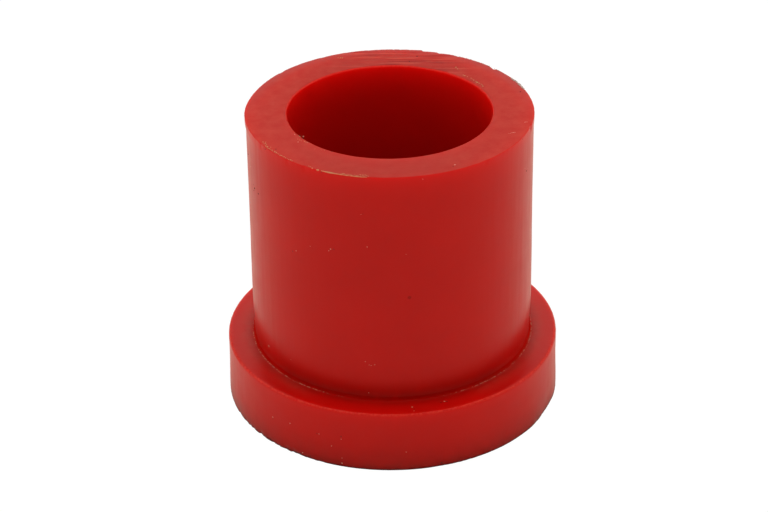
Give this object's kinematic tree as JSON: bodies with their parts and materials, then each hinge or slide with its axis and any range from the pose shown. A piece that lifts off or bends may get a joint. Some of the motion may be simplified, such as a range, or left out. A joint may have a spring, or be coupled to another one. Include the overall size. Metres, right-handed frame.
{
  "type": "flanged polyurethane bush",
  "caption": "Plain round bush in red polyurethane: a straight barrel on a wider flange, with a straight bore right through.",
  "frame": {"origin": "centre of the flange's outer face, which the bush stands on", "axes": "+Z along the bore, from the flange towards the barrel's free end; X and Y are alike, because the bush is round"},
  "size_m": [0.06, 0.06, 0.0555],
  "materials": {
    "polyurethane": "satin cast polyurethane, matt on the cut end face"
  },
  "bodies": {
    "root": {"bush": "polyurethane"}
  },
  "joints": []
}
